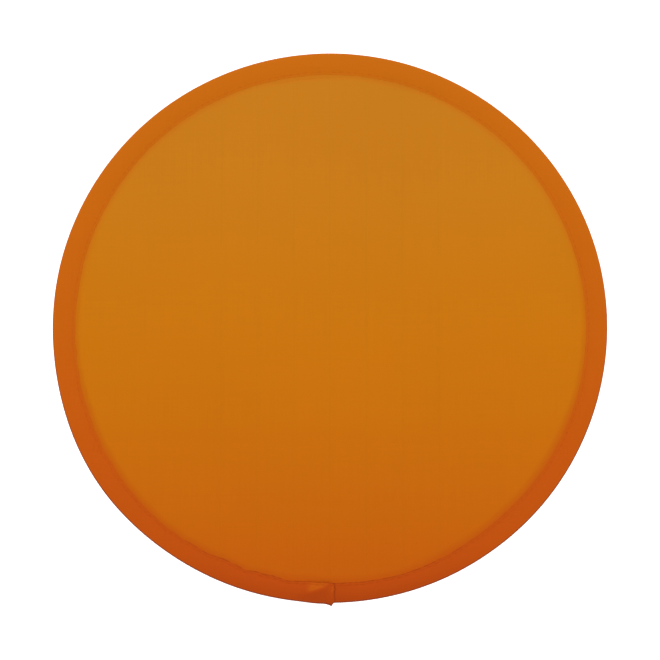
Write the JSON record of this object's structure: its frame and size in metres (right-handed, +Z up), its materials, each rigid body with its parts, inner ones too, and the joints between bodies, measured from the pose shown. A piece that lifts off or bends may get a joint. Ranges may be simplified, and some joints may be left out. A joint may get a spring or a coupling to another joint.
{
  "type": "foldable flying disc",
  "caption": "Round flat nylon throwing disc, bound with a folded tape over a flat spring-steel hoop, that rolls up and springs flat again.",
  "frame": {"origin": "centre of the disc, at the height of its lowest point when it lies flat", "axes": "+Z up out of the disc's upper side, the binding's join on the -Y side, the hoop's joint on the +Y side, the disc rolls up about the Y axis"},
  "size_m": [0.245, 0.2462, 0.0036],
  "materials": {
    "panel_nylon": "plain-weave nylon taffeta, slightly translucent",
    "binding_nylon": "plain-weave nylon tape, matte",
    "sewing_thread": "polyester sewing thread",
    "spring_steel": "bright flat spring steel"
  },
  "bodies": {
    "centre": {"panel_centre": "panel_nylon", "binding_centre": "binding_nylon", "hoop_centre": "spring_steel", "needle_thread_centre": "sewing_thread", "bobbin_thread_centre": "sewing_thread", "binding_end": "binding_nylon", "hoop_ferrule": "spring_steel"},
    "right_1": {"panel_right_1": "panel_nylon", "binding_right_1": "binding_nylon", "hoop_right_1": "spring_steel", "needle_thread_right_1": "sewing_thread", "bobbin_thread_right_1": "sewing_thread"},
    "right_2": {"panel_right_2": "panel_nylon", "binding_right_2": "binding_nylon", "hoop_right_2": "spring_steel", "needle_thread_right_2": "sewing_thread", "bobbin_thread_right_2": "sewing_thread"},
    "right_3": {"panel_right_3": "panel_nylon", "binding_right_3": "binding_nylon", "hoop_right_3": "spring_steel", "needle_thread_right_3": "sewing_thread", "bobbin_thread_right_3": "sewing_thread"},
    "right_4": {"panel_right_4": "panel_nylon", "binding_right_4": "binding_nylon", "hoop_right_4": "spring_steel", "needle_thread_right_4": "sewing_thread", "bobbin_thread_right_4": "sewing_thread"},
    "left_1": {"panel_left_1": "panel_nylon", "binding_left_1": "binding_nylon", "hoop_left_1": "spring_steel", "needle_thread_left_1": "sewing_thread", "bobbin_thread_left_1": "sewing_thread"},
    "left_2": {"panel_left_2": "panel_nylon", "binding_left_2": "binding_nylon", "hoop_left_2": "spring_steel", "needle_thread_left_2": "sewing_thread", "bobbin_thread_left_2": "sewing_thread"},
    "left_3": {"panel_left_3": "panel_nylon", "binding_left_3": "binding_nylon", "hoop_left_3": "spring_steel", "needle_thread_left_3": "sewing_thread", "bobbin_thread_left_3": "sewing_thread"},
    "left_4": {"panel_left_4": "panel_nylon", "binding_left_4": "binding_nylon", "hoop_left_4": "spring_steel", "needle_thread_left_4": "sewing_thread", "bobbin_thread_left_4": "sewing_thread"}
  },
  "joints": [
    {"name": "fold_right_1", "type": "hinge", "parent": "centre", "child": "right_1", "pos_m": [0.008, 0, 0.00145], "axis": [0, -1, 0], "range_deg": [0, 22.5], "stiffness_Nm_per_rad": 0.1},
    {"name": "fold_right_2", "type": "hinge", "parent": "right_1", "child": "right_2", "pos_m": [0.024, 0, 0.00145], "axis": [0, -1, 0], "range_deg": [0, 22.5], "stiffness_Nm_per_rad": 0.1},
    {"name": "fold_right_3", "type": "hinge", "parent": "right_2", "child": "right_3", "pos_m": [0.04, 0, 0.00145], "axis": [0, -1, 0], "range_deg": [0, 22.5], "stiffness_Nm_per_rad": 0.1},
    {"name": "fold_right_4", "type": "hinge", "parent": "right_3", "child": "right_4", "pos_m": [0.056, 0, 0.00145], "axis": [0, -1, 0], "range_deg": [0, 22.5], "stiffness_Nm_per_rad": 0.1},
    {"name": "fold_left_1", "type": "hinge", "parent": "centre", "child": "left_1", "pos_m": [-0.008, 0, 0.00145], "axis": [0, 1, 0], "range_deg": [0, 22.5], "stiffness_Nm_per_rad": 0.1},
    {"name": "fold_left_2", "type": "hinge", "parent": "left_1", "child": "left_2", "pos_m": [-0.024, 0, 0.00145], "axis": [0, 1, 0], "range_deg": [0, 22.5], "stiffness_Nm_per_rad": 0.1},
    {"name": "fold_left_3", "type": "hinge", "parent": "left_2", "child": "left_3", "pos_m": [-0.04, 0, 0.00145], "axis": [0, 1, 0], "range_deg": [0, 22.5], "stiffness_Nm_per_rad": 0.1},
    {"name": "fold_left_4", "type": "hinge", "parent": "left_3", "child": "left_4", "pos_m": [-0.056, 0, 0.00145], "axis": [0, 1, 0], "range_deg": [0, 22.5], "stiffness_Nm_per_rad": 0.1}
  ],
  "couplings": [
    {"joint": "fold_right_2", "follows": "fold_right_1", "ratio": 1},
    {"joint": "fold_right_3", "follows": "fold_right_1", "ratio": 1},
    {"joint": "fold_right_4", "follows": "fold_right_1", "ratio": 1},
    {"joint": "fold_left_1", "follows": "fold_right_1", "ratio": 1},
    {"joint": "fold_left_2", "follows": "fold_right_1", "ratio": 1},
    {"joint": "fold_left_3", "follows": "fold_right_1", "ratio": 1},
    {"joint": "fold_left_4", "follows": "fold_right_1", "ratio": 1}
  ]
}
